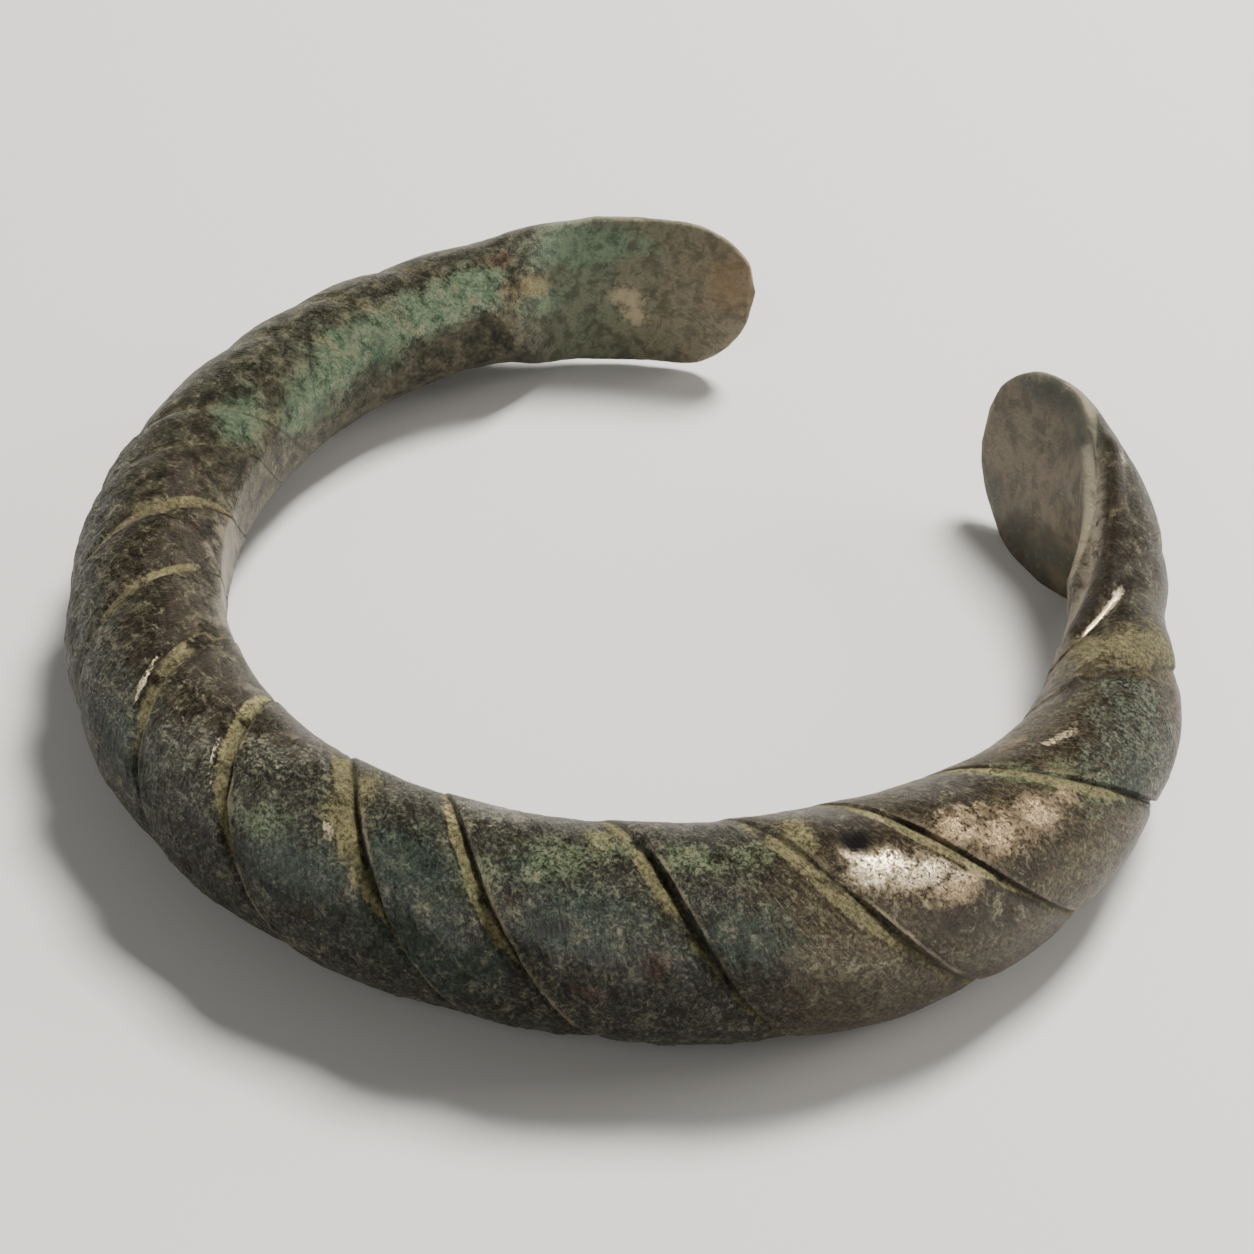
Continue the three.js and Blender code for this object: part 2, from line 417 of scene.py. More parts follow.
# Across one facet: a rounded crest, a slope that falls away from it to a low lip, a valley where
# soil lies, and the narrow crevice below the wall of the next crest
CREST_SHARE = 0.4
FALL_STARTS = 0.06
FALL_ENDS = 0.66
FALL_TO_LIP = 0.72
LIP_WIDTH = 0.05
VALLEY_ENDS = 0.945
VALLEY_WIDTH = 0.03
TOP_VALLEY_ADDS = 0.07
FRONT_VALLEY_ADDS = 0.125
VALLEY_WAVER = 0.16
NARROWEST_VALLEY = 0.015
WALL_STARTS = 0.960
CREVICE_OPENS = (0.930, 0.958)
CREVICE_CLOSES = (0.964, 0.990)
CREVICE_FADES = (0.30, 0.62)
CREVICE_ON_TOP = 0.35
CREVICE_INSIDE = 0.3
STEADY_STEP = 0.55
UNEVEN_STEP = 0.9
UNDERSIDE_WEAR = 0.45
FULLY_WORN = 0.8
FACES_DOWN = (-0.10, -0.70)
FACES_UP = (0.30, 0.95)
# How strong the seams are by the right paddle, what the right limb and the front add to it, and
# the share that is left where they ease and wear away on the far limb
SEAM_BY_PADDLE = 0.12
SEAM_ON_LIMB = 0.36
SEAM_AT_FRONT = 0.55
SEAM_EASED = 0.7
SEAM_WORN_AWAY = 0.35
UNEVEN_PER_MM = 0.18
VALLEYS_PER_MM = 0.30
clock_out = cosine(bar_angle + turn)
clock_up = sine(bar_angle + turn)
inwards = between(-clock_out, 0.0, FULLY_WORN)
underneath = between(clock_up, *FACES_DOWN)
on_top = between(clock_up, *FACES_UP)
seam_strength = SEAM_BY_PADDLE + SEAM_ON_LIMB * past(along, "seams open")
seam_strength = seam_strength + SEAM_AT_FRONT * past(along, "seams deepen")
seam_strength = seam_strength * mix(1.0, SEAM_EASED, past(along, "seams ease"))
seam_strength = seam_strength * mix(1.0, SEAM_WORN_AWAY, past(along, "seams wear away"))
step = mix(size("Seam step"), size("Worn seam step"), inwards)
step = step * (1.0 - underneath * UNDERSIDE_WEAR) * seam_strength
ridge_space = vector_of(bangle_tree, along, cosine(bar_angle) * radius, sine(bar_angle) * radius)
unevenness = noise(ridge_space, UNEVEN_PER_MM, 3.0)
valley_adds = mix(TOP_VALLEY_ADDS, FRONT_VALLEY_ADDS, past(along, "valleys widen"))
valley_width = VALLEY_WIDTH + on_top * valley_adds
valley_width = valley_width + (noise(ridge_space, VALLEYS_PER_MM, 2.0) - 0.5) * VALLEY_WAVER
valley_starts = VALLEY_ENDS - larger(valley_width, NARROWEST_VALLEY)
wall = between(share, WALL_STARTS, 1.0)
fallen = FALL_TO_LIP * between(share, FALL_STARTS, FALL_ENDS)
fallen = fallen + (1.0 - FALL_TO_LIP) * between(share, valley_starts - LIP_WIDTH, valley_starts)
bulge = sine(180.0 * share) * size("Pillow bulge") * (1.0 - inwards)
crevice = between(share, *CREVICE_OPENS) * (1.0 - between(share, *CREVICE_CLOSES))
crevice_depth = size("Crevice depth") * between(unevenness, *CREVICE_FADES)
crevice_depth = crevice_depth * mix(1.0, CREVICE_ON_TOP, on_top) * mix(1.0, CREVICE_INSIDE, inwards)
crevice_depth = crevice_depth * seam_strength * seam_strength
reach = (
    radius
    + step * (CREST_SHARE - fallen * (1.0 - wall)) * (STEADY_STEP + UNEVEN_STEP * unevenness)
    + bulge
    - crevice * crevice_depth
)

# Across a paddle: the inner face is nearly flat and the outer one rises to a midrib
FACE_SQUARENESS = 0.5
MIDRIB_HOLLOW = 1.25
TIP_THICKNESS = 0.35
PADDLE_CLEARANCE = 1.2
EDGE_ROUNDING = 0.5
# The right paddle's form turns back a little where it meets the bar, and its lower edge stays on
# as an edge for a while after the rest has become bar
TURNED_BACK = -42.0
TURNED_BACK_AT = 18.0
TURNED_BACK_SPREAD = 5.5
LOWER_EDGE_STAYS = 2.5
half_height = paddle["height"] * 0.5 * rounded
tip_thinning = mix(TIP_THICKNESS, 1.0, rounded)
inner_thickness = paddle["edge"] * 0.5 * tip_thinning
outer_thickness = (paddle["edge"] * 0.5 + paddle["thickening"] * from_tip) * tip_thinning
lift = (paddle["lift"] + paddle["tip lift"] * (1.0 - rounded)) * (1.0 - bar)
inner_limit = mix(-PADDLE_CLEARANCE * half_height, size("Inner wear") - radius, bar)
across = sine(paddle_angle)
face = (
    inner_thickness * power(larger(across, 0.0), FACE_SQUARENESS)
    - outer_thickness * power(larger(-across, 0.0), MIDRIB_HOLLOW)
)
closing = power(share_of(from_tip, 0.0, EDGE_ROUNDING), 0.5)
turned_back = hump(along, TURNED_BACK_AT, TURNED_BACK_SPREAD) * is_right * TURNED_BACK
across_height = half_height * cosine(paddle_angle)
paddle_sideways = across_height * cosine(turned_back) - face * sine(turned_back)
paddle_onwards = across_height * sine(turned_back) + face * cosine(turned_back)
edge_stays = larger(-cosine(paddle_angle), 0.0) * is_right * LOWER_EDGE_STAYS
own_bar = between(from_tip - edge_stays, paddle["flat"], paddle["root"])
sideways = mix(paddle_sideways, reach * cosine(bar_angle), own_bar) * closing
onwards = mix(paddle_onwards, reach * sine(bar_angle), own_bar) * closing
outwards = larger(sideways * cosine(turn) - onwards * sine(turn), inner_limit * closing)
upwards = sideways * sine(turn) + onwards * cosine(turn) + lift

# Past the right paddle the inner face stays flat for a while, and turns with the twist. Then the
# bar has a waist on its outer side and swells on its inner side.
FACE_ANGLE = 182.0
FACE_ANGLE_AT = 12.6
FACE_TURN_PER_MM = 4.6
FACE_DEPTH = 0.6
FACE_CURVES_AT = 14.0
FACE_CURVE = 0.05
FACE_CUT = 0.9
OUTER_WAIST = 0.95
WAIST_AT = 22.0
WAIST_SPREAD = 4.0
INNER_SWELL = 0.85
SWELL_AT = 27.0
SWELL_SPREAD = 6.0
MIDDLE_OF_BAR = (-2.0, 2.0)
FACE_EDGE = (-1.1, -0.4)
face_angle = FACE_ANGLE + (along - FACE_ANGLE_AT) * FACE_TURN_PER_MM
past_face = larger(along - FACE_CURVES_AT, 0.0)
face_depth = FACE_DEPTH + FACE_CURVE * past_face * past_face
beyond_face = outwards * cosine(face_angle) + upwards * sine(face_angle) - face_depth
has_flat_face = past(along, "flat face begins") * (1.0 - past(along, "flat face ends"))
cut_away = larger(beyond_face, 0.0) * has_flat_face * FACE_CUT
outwards = outwards - cut_away * cosine(face_angle)
upwards = upwards - cut_away * sine(face_angle)
outer_waist = OUTER_WAIST * hump(along, WAIST_AT, WAIST_SPREAD)
inner_swell = INNER_SWELL * hump(along, SWELL_AT, SWELL_SPREAD)
outwards = outwards - mix(inner_swell, outer_waist, between(outwards, *MIDDLE_OF_BAR))
on_right_face = between(beyond_face, *FACE_EDGE) * (1.0 - past(along, "face look ends"))
on_inner_side = between(across, -0.05, 0.15) * (1.0 - past(along, "paddle look ends"))
on_right_face = larger(on_right_face, on_inner_side)
beyond_paddle = mix(bar, 1.0 - on_right_face, is_right)

# Marks for the material, kept on the points: seams, painted shade in the crevices, wear and the
# edges of the paddles
LEDGE_STARTS = (-0.02, 0.03)
LIP_STARTS = (-0.09, -0.05)
LIP_ENDS = (-0.03, 0.0)
SOIL_ENDS = (0.955, 0.975)
DARK_OPENS = (0.935, 0.955)
DARK_CLOSES = (0.972, 0.988)
CREST_ENDS = (0.0, 0.07)
CREST_BEGINS = (0.985, 1.0)
PADDLE_RIM = 0.35


def by_valley(start, end):
    return between(share, valley_starts + start, valley_starts + end)


soil = by_valley(*LEDGE_STARTS) * (1.0 - between(share, *SOIL_ENDS)) * bar
soil = soil * past(along, "soil begins") * (1.0 - 0.5 * past(along, "soil thins"))
# Painted shade at the foot of each seam wall, weaker on top
crevice_shade_mark = between(share, *DARK_OPENS) * (1.0 - between(share, *DARK_CLOSES)) * bar
crevice_shade_mark = crevice_shade_mark * mix(1.0, 0.5, on_top) * seam_strength
lip = by_valley(*LIP_STARTS) * (1.0 - by_valley(*LIP_ENDS)) * bar
on_crest = (1.0 - between(share, *CREST_ENDS) + between(share, *CREST_BEGINS)) * bar
on_crest = on_crest * (1.0 - inwards * 0.7) * past(along, "crest wear begins")
paddle_rim = 1.0 - between(calculate(bangle_tree, "ABSOLUTE", across), 0.0, PADDLE_RIM)
paddle_rim = paddle_rim * (1.0 - bar)
paddle_rim = paddle_rim * (1.0 - past(along, "rim wear ends") * is_right)

marks = {
    "bar_place": vector_of(bangle_tree, along, outwards, upwards),
    "ridge_place": ridge_space,
    "seam_marks": vector_of(bangle_tree, soil, crevice_shade_mark, lip),
    "wear_marks": vector_of(bangle_tree, larger(on_crest, paddle_rim), inwards, beyond_paddle),
}
sheet = grid.outputs["Mesh"]
for mark, value in marks.items():
    sheet = keep(sheet, mark, value, "FLOAT_VECTOR")

# Patches of one look. Each has its place along, outwards and up, its half length and half width.
PATCHES = {
    # The silver patches mark painted highlights on the rubbed metal
    "rubbed_highlight": [
        (11.9, 2.1, 4.9, 0.6, 0.5),
        (55.0, 1.0, 6.5, 1.2, 0.9),
        (53.8, 2.2, 6.1, 2.0, 1.2),
        (51.8, 3.1, 5.4, 2.0, 1.1),
        (114.8, 1.2, 4.7, 0.8, 0.5),
    ],
    "gold": [
        (48.8, 1.4, 6.2, 1.8, 1.1),
        (46.6, 2.5, 5.6, 2.0, 1.4),
        (44.0, 2.4, 5.1, 1.8, 1.4),
        (41.9, 2.3, 4.8, 1.2, 0.8),
        (50.6, 4.0, 4.6, 1.6, 0.9),
    ],
    # Painted glints along the lips of the valleys
    "lip glints": [
        (100.7, 1.8, 4.7, 3.0, 2.2),
        (92.6, 2.2, 4.8, 3.0, 2.0),
        (84.6, 2.3, 4.9, 2.2, 1.2),
    ],
    "crust": [
        (34.5, 3.2, 3.9, 3.6, 3.2),
        (31.8, 1.4, 4.2, 1.6, 2.0),
        (37.8, 2.6, 4.6, 2.4, 1.6),
    ],
    "teal": [
        (69.6, 3.7, 4.9, 3.0, 2.2),
        (79.5, 2.8, 5.3, 3.6, 2.2),
        (78.8, 5.4, 3.0, 3.6, 2.4),
        (76.0, 5.7, 2.0, 3.2, 2.4),
        (72.6, 1.4, 6.0, 2.0, 1.2),
        (85.5, 4.4, 3.6, 3.6, 2.4),
        (98.5, 4.4, 2.6, 4.0, 1.8),
        (37.6, 4.0, 3.4, 2.0, 1.0),
        (61.5, 4.6, 4.4, 3.0, 1.8),
    ],
    "light green": [
        (43.2, -0.6, 5.4, 1.5, 1.2),
        (41.2, 1.4, 5.0, 1.6, 1.2),
        (39.6, 3.0, 4.2, 1.5, 1.2),
        (71.5, 0.4, 6.0, 2.4, 1.8),
        (68.8, -0.9, 5.9, 2.4, 1.4),
        (60.3, 0.1, 6.1, 2.0, 1.0),
        (64.0, 0.3, 6.5, 2.6, 1.0),
        (75.6, 2.2, 5.6, 1.4, 1.2),
        (88.0, 3.4, 4.4, 1.8, 1.2),
    ],
    "turquoise": [
        (134.3, -3.9, 2.1, 3.4, 2.0),
        (138.4, -3.5, 2.9, 3.6, 2.4),
        (142.6, -3.4, 2.9, 3.2, 2.2),
        (147.6, -2.9, 3.2, 3.2, 1.8),
        (151.3, -2.3, 3.4, 2.8, 1.6),
        (156.6, -1.6, 1.2, 2.4, 1.4),
        (161.0, -0.6, 4.6, 4.0, 1.6),
        (128.0, -2.4, 4.2, 2.4, 1.8),
    ],
    "tan": [
        (84.4, -0.4, 5.5, 1.4, 2.6),
        (27.6, 0.4, 4.2, 2.4, 2.2),
        (28.6, -2.0, 3.8, 2.0, 1.6),
        (26.4, 2.4, 3.2, 2.2, 1.8),
        (69.2, -1.6, 5.8, 1.2, 1.4),
        (57.8, -0.6, 6.3, 1.2, 1.8),
        (116.4, -0.4, 4.8, 1.0, 1.6),
    ],
    "brown": [
        (113.7, -2.5, 4.4, 3.2, 2.2),
        (107.2, -2.3, 4.8, 3.4, 2.2),
        (98.5, -2.2, 4.9, 4.0, 2.8),
        (95.0, 2.0, 5.0, 2.2, 2.2),
        (90.5, -1.8, 5.4, 2.6, 2.6),
        (76.4, -2.6, 5.6, 2.8, 2.0),
        (49.0, 4.6, 3.4, 4.4, 2.6),
        (55.0, -1.6, 6.2, 3.0, 2.0),
        (47.0, -2.0, 5.8, 4.0, 2.2),
        (104.0, -1.0, 5.0, 2.6, 1.8),
        (111.0, -1.2, 4.8, 2.6, 1.8),
        (119.6, -1.6, 4.6, 2.4, 1.8),
        (33.0, -3.0, 3.6, 3.0, 1.6),
    ],
    "red": [
        (69.4, 6.1, 1.7, 1.1, 0.5),
        (65.6, 5.1, 3.1, 0.9, 0.8),
        (58.5, 4.3, 4.5, 0.7, 0.4),
        (59.8, 3.6, 5.0, 0.8, 0.3),
        (154.0, -0.6, 4.4, 1.6, 0.6),
    ],
    "ochre": [
        (156.6, -1.9, 2.2, 2.6, 0.9),
        (154.4, -2.2, 2.6, 1.6, 0.7),
        (171.5, -0.4, 2.0, 2.6, 2.6),
        (40.5, -2.6, 4.6, 1.4, 0.5),
    ],
    "black": [
        (54.6, 0.4, 6.5, 1.2, 0.9),
        (71.2, 4.0, 4.4, 1.0, 0.7),
    ],
    "cream": [
        (163.6, -0.6, 0.0, 1.4, 0.9),
        (164.3, -0.8, -1.5, 1.0, 0.8),
    ],
    # Light grey on the inner face of the left limb: wear, and partly a painted sheen
    "grey": [
        (115.4, -4.7, 0.6, 6.0, 2.2),
        (107.5, -4.7, 1.6, 5.0, 1.6),
        (99.0, -5.0, 1.2, 4.0, 1.6),
    ],
    "green band": [
        (3.0, 0.6, 5.6, 2.4, 1.2),
        (6.0, 1.1, 6.2, 3.0, 1.4),
        (9.4, 0.6, 6.0, 2.4, 1.2),
        (2.5, 0.0, -4.4, 4.0, 2.4),
        (8.0, -0.6, -4.6, 4.0, 2.2),
        (12.5, -1.8, -3.0, 4.0, 1.8),
    ],
}
RAGGED = 1.6
WARPS_PER_MM = 0.55
PATCH_CORE = 0.2
PATCH_EDGE = 1.5
bar_place = kept("bar_place", "FLOAT_VECTOR")
patch_along, patch_out, patch_up = axes_of(bar_place)
warping = (noise(bar_place, WARPS_PER_MM, 3.0) - 0.5) * RAGGED
for look, places in PATCHES.items():
    look_mask = None
    for at_along, at_out, at_up, half_length, half_width in places:
        off_along = (patch_along - at_along) / half_length
        off_out = (patch_out - at_out) / half_width
        off_up = (patch_up - at_up) / half_width
        off = power(off_along * off_along + off_out * off_out + off_up * off_up, 0.5)
        spot = 1.0 - share_of(off + warping, PATCH_CORE, PATCH_EDGE)
        look_mask = spot if look_mask is None else larger(look_mask, spot)
    sheet = keep(sheet, look, look_mask)

# Narrow marks: a raised rim, the channel beside it, and streaks with painted highlights. Each has its
# half width, and runs from place to place.
LINES = {
    "rim": [
        0.95,
        (10.6, 0.2, 6.2),
        (12.6, -0.3, 5.5),
        (15.8, -1.0, 4.0),
        (19.6, -2.3, 2.9),
        (25.8, -4.6, 2.0),
    ],
    "channel": [1.0, (11.0, 1.7, 5.6), (13.3, 0.9, 5.0), (17.4, -0.4, 3.6), (25.8, -3.4, 3.1)],
    "streak": [0.55, (20.9, 0.5, 3.8), (22.6, -0.6, 3.7)],
    "streak end": [0.36, (22.2, -0.3, 3.7), (24.4, -1.5, 3.6), (26.8, -2.8, 3.6)],
    "short streak": [0.75, (37.4, -0.2, 5.2), (39.6, -0.9, 5.5)],
}
LINE_EDGE = 1.4
LINE_WARP = 0.25


def distance_to(start, end):
    run = Vector(end) - Vector(start)
    off_start = vector_maths("SUBTRACT", bar_place, start)
    reached = vector_maths("DOT_PRODUCT", off_start, tuple(run / run.length_squared))
    nearest = vector_maths("SCALE", vector_of(bangle_tree, *run), share_of(reached, 0.0, 1.0))
    return vector_maths("LENGTH", vector_maths("SUBTRACT", off_start, nearest), (0.0, 0.0, 0.0))


for look, (half_width, *places) in LINES.items():
    off = distance_to(places[0], places[1])
    for start, end in zip(places[1:], places[2:]):
        off = smaller(off, distance_to(start, end))
    sheet = keep(sheet, look, 1.0 - between(off / half_width + warping * LINE_WARP, 0.0, LINE_EDGE))

# Crust grows over the front and round the outside of the left limb; the inside is worn smooth
CRUST_EDGE_AT_FRONT = -4.0
CRUST_EDGE_ON_LEFT = 2.2
CRUST_EDGE_SOFTNESS = 1.5
front_crust = past(patch_along, "crust begins") * (1.0 - past(patch_along, "crust ends"))
crust_edge = mix(CRUST_EDGE_AT_FRONT, CRUST_EDGE_ON_LEFT, past(patch_along, "crust turns outside"))
crust_out = between(patch_out, crust_edge - CRUST_EDGE_SOFTNESS, crust_edge + CRUST_EDGE_SOFTNESS)
sheet = keep(sheet, "broad crust", front_crust * crust_out)

# The sheet is wrapped round the middle of the bar, and its edges and tips are joined
JOINING_DISTANCE = 0.002
on_path = geometry_node("GeometryNodeSampleCurve", path.outputs[0], mode="LENGTH")
on_path.data_type = "FLOAT"
plug(bangle_tree, along, on_path.inputs["Length"])
path_x, path_y, _ = axes_of(Field(bangle_tree, on_path.outputs["Position"]))
heading_x, heading_y, _ = axes_of(Field(bangle_tree, on_path.outputs["Tangent"]))
wrapped = geometry_node("GeometryNodeSetPosition", sheet)
wrapped_x = path_x - heading_y * outwards
wrapped_y = path_y + heading_x * outwards
plug(bangle_tree, vector_of(bangle_tree, wrapped_x, wrapped_y, upwards), wrapped.inputs["Position"])
closed = geometry_node("GeometryNodeMergeByDistance", wrapped.outputs[0])
closed.inputs["Distance"].default_value = JOINING_DISTANCE

# Relief of corrosion and wear: broad lumps, grains that are coarser in the crust, the raised rim
# with its channel, and the small ridge that carries a long painted highlight
LUMPS_PER_MM = 0.28
LUMP_HEIGHT = 0.30
GRAINS_PER_MM = 1.0
GRAIN_HEIGHT = 0.14
CRUST_HEIGHT = 0.50
THICK_CRUST_HEIGHT = 0.35
RIM_HEIGHT = 0.38
CHANNEL_DEPTH = 0.40
STREAK_HEIGHT = 0.25
place = place_now()
lumps = (noise(place, LUMPS_PER_MM, 3.0) - 0.5) * LUMP_HEIGHT
crusting = larger(kept("broad crust"), kept("crust"))
grain_height = mix(GRAIN_HEIGHT, CRUST_HEIGHT, crusting) + kept("crust") * THICK_CRUST_HEIGHT
grains = (noise(place, GRAINS_PER_MM, 4.0, 0.70, 0.3) - 0.5) * grain_height
shaped = kept("rim") * RIM_HEIGHT - kept("channel") * CHANNEL_DEPTH
shaped = shaped + larger(kept("streak"), kept("streak end")) * STREAK_HEIGHT
roughened = geometry_node("GeometryNodeSetPosition", closed.outputs[0])
surface_normal = Field(bangle_tree, geometry_node("GeometryNodeInputNormal").outputs[0])
raised = vector_maths("SCALE", surface_normal, lumps + grains + shaped)
plug(bangle_tree, raised, roughened.inputs["Offset"])

# Down on the floor, at real size
FLOOR_LEVEL = -6.229
RING_CENTRE = (-0.851, 3.606, -FLOOR_LEVEL)
pos_x, pos_y, pos_z = axes_of(place_now())
rested = geometry_node("GeometryNodeSetPosition", roughened.outputs[0])
rested_place = vector_of(bangle_tree, pos_x, pos_y, larger(pos_z, FLOOR_LEVEL))
plug(bangle_tree, rested_place, rested.inputs["Position"])
sized = geometry_node("GeometryNodeTransform", rested.outputs[0])
sized.inputs["Translation"].default_value = [MILLIMETRE * value for value in RING_CENTRE]
sized.inputs["Scale"].default_value = (MILLIMETRE, MILLIMETRE, MILLIMETRE)
smooth = geometry_node("GeometryNodeSetShadeSmooth", sized.outputs[0])
real = geometry_node("GeometryNodeRealizeInstances", smooth.outputs[0])
coated = geometry_node("GeometryNodeSetMaterial", real.outputs[0])
bangle_tree.links.new(tree_start.outputs["Patina"], coated.inputs["Material"])
bangle_tree.links.new(coated.outputs[0], tree_end.inputs[0])

# The patina: dark brown under grains of olive and green, with soil, bare metal and small stains,
# and with painted highlights on the rubbed metal and painted shade in the crevices and the channel.
# Where a look has two colours, one lies in its pits and the other on its grains.
COLOURS = {
    "ground pits": (0.007, 0.006, 0.004),
    "ground grains": (0.110, 0.086, 0.048),
    "dark veins": (0.014, 0.012, 0.008),
    "olive grains": (0.150, 0.132, 0.076),
    "golden pits": (0.030, 0.023, 0.014),
    "golden grains": (0.190, 0.150, 0.086),
    "far limb pits": (0.028, 0.028, 0.018),
    "far limb grains": (0.095, 0.092, 0.058),
    "lighter far limb grains": (0.135, 0.140, 0.090),
    "right paddle pits": (0.115, 0.088, 0.052),
    "right paddle grains": (0.300, 0.240, 0.158),
    "far paddle pits": (0.085, 0.100, 0.062),
    "far paddle grains": (0.215, 0.250, 0.165),
    "far tip pits": (0.150, 0.128, 0.076),
    "far tip grains": (0.290, 0.250, 0.160),
    "paddle specks": (0.100, 0.080, 0.050),
    "green band": (0.060, 0.068, 0.044),
    "brown pits": (0.016, 0.011, 0.006),
    "brown grains": (0.068, 0.047, 0.024),
    "crust pits": (0.003, 0.004, 0.003),
    "crust grains": (0.150, 0.168, 0.102),
    "thick crust pits": (0.004, 0.006, 0.005),
    "thick crust grains": (0.190, 0.235, 0.160),
    "teal": (0.022, 0.062, 0.044),
    "light green": (0.205, 0.262, 0.132),
    "turquoise pits": (0.080, 0.125, 0.074),
    "turquoise grains": (0.210, 0.325, 0.200),
    "turquoise clouds": (0.060, 0.120, 0.075),
    "inner wear": (0.130, 0.108, 0.068),
    "grey wear and sheen": (0.225, 0.200, 0.145),
    "edge wear": (0.300, 0.250, 0.165),
    "rim": (0.330, 0.290, 0.215),
    # Painted shade in the channel beside the rim
    "channel": (0.030, 0.020, 0.012),
    "soil pits": (0.070, 0.060, 0.026),
    "light soil grains": (0.310, 0.280, 0.125),
    "dark soil grains": (0.200, 0.172, 0.080),
    "red stain": (0.150, 0.050, 0.024),
    "ochre stain": (0.360, 0.220, 0.090),
    "cream stain": (0.560, 0.460, 0.290),
    "golden metal": (0.360, 0.268, 0.155),
    # Painted highlight on the rubbed metal
    "painted highlight on metal": (0.520, 0.440, 0.305),
    "black spot": (0.006, 0.006, 0.006),
    # Painted shade in the crevices
    "crevice": (0.004, 0.0035, 0.0025),
}
patina = bpy.data.materials.new("Patinated copper alloy")
patina.use_nodes = True
patina_tree = patina.node_tree
surface = patina_tree.nodes["Principled BSDF"]


def seen(name, vector=False):
    node = patina_tree.nodes.new("ShaderNodeAttribute")
    node.attribute_name = name
    return Field(patina_tree, node.outputs["Vector" if vector else "Fac"])


# Where a Mix node has its two colours and its result
UNDER_COLOUR = 6
OVER_COLOUR = 7
MIXED_COLOUR = 2


def painted(under, over, mask):
    """One colour over another, each by its name or as painted already."""
    node = patina_tree.nodes.new("ShaderNodeMix")
    node.data_type = "RGBA"
    plug(patina_tree, mask, node.inputs[0])
    for colour_given, at_socket in ((under, UNDER_COLOUR), (over, OVER_COLOUR)):
        if not isinstance(colour_given, Field):
            colour_given = (*COLOURS[colour_given], 1.0)
        plug(patina_tree, colour_given, node.inputs[at_socket])
    return Field(patina_tree, node.outputs[MIXED_COLOUR])


# Noises from broad clouds to fine specks, each with its lumps to a millimetre
coordinates = patina_tree.nodes.new("ShaderNodeTexCoord")
in_place = vector_maths("SCALE", Field(patina_tree, coordinates.outputs["Object"]), 1.0 / MILLIMETRE)
cloudy = noise(in_place, 0.35, 4.0, 0.6)
blotchy = noise(in_place, 0.95, 5.0, 0.65, 0.4)
grainy = noise(in_place, 3.8, 7.0, 0.80, 0.45)
fine = noise(in_place, 7.5, 3.0, 0.7, 0.4)
ALONG_THE_RIDGES = (0.55, 2.3, 2.3)
twisted_place = vector_maths("MULTIPLY", seen("ridge_place", True), ALONG_THE_RIDGES)
fibrous = noise(twisted_place, 1.5, 6.0, 0.75, 0.5)
breaking = (blotchy - 0.5) * 1.3 + (grainy - 0.5) * 1.1
high_grain = between(grainy, 0.42, 0.63)
seam_soil, crevice, lip_mark = axes_of(seen("seam_marks", True))
crest, worn_inside, on_bar = axes_of(seen("wear_marks", True))
bar_along, _, _ = axes_of(seen("bar_place", True))
on_paddle = between(on_bar + (cloudy - 0.5) * 0.6, 0.80, 0.05)


def ragged(name, level=0.5, softness=0.22):
    """A patch whose edge breaks up into blotches and grains."""
    return between(seen(name) + breaking, level - softness, level + softness)


# Dark brown ground, with darker veins and olive grains on it
colour = painted("ground pits", "ground grains", high_grain)
colour = painted(colour, "dark veins", between(fibrous, 0.60, 0.42) * 0.7)
olive = between(blotchy, 0.44, 0.60) * between(fine, 0.36, 0.58)
colour = painted(colour, "olive grains", olive * 0.42)

# The right limb shows more of the golden metal through a thin patina
golden = past(bar_along, "gold begins") * (1.0 - past(bar_along + (cloudy - 0.5) * 12.0, "gold ends"))
golden_grain = between(grainy * 0.7 + fibrous * 0.3, 0.42, 0.62)
colour = painted(colour, painted("golden pits", "golden grains", golden_grain), golden * 0.65)

# The far limb is greyer and greener, and finely mottled
far_limb = past(bar_along + (cloudy - 0.5) * 14.0, "far limb begins")
far_grains = painted("far limb grains", "lighter far limb grains", past(bar_along, "far limb lightens"))
mottle = between(blotchy * 0.5 + grainy * 0.5, 0.40, 0.60)
colour = painted(colour, painted("far limb pits", far_grains, mottle), far_limb * 0.80)

# The paddles: grey-green on the far one, and tan at its tip; tan and brown on the right one
broad_mottle = between(blotchy, 0.36, 0.62)
far_end = past(bar_along + (cloudy - 0.5) * 16.0 + (blotchy - 0.5) * 8.0, "far tip begins")
far_tone = painted("far paddle pits", "far paddle grains", broad_mottle)
far_tone = painted(far_tone, painted("far tip pits", "far tip grains", broad_mottle), far_end)
right_mottle = (blotchy - 0.5) * 0.8 + (cloudy - 0.5) * 0.8 + (fibrous - 0.5) * 0.25
right_tone = painted("right paddle pits", "right paddle grains", between(right_mottle, -0.16, 0.16))
paddle_tone = painted(right_tone, far_tone, past(bar_along, "left half begins"))
paddle_tone = painted(paddle_tone, "paddle specks", between(grainy, 0.56, 0.40) * 0.45)
colour = painted(colour, paddle_tone, on_paddle * 0.92)
colour = painted(colour, "green band", ragged("green band", 0.45, 0.35) * 0.85)

# Smooth brown places
brown = between(seen("brown") + breaking * 0.5, 0.34, 0.62)
brown_tone = painted("brown pits", "brown grains", between(grainy, 0.45, 0.72))
colour = painted(colour, brown_tone, brown * 0.95)

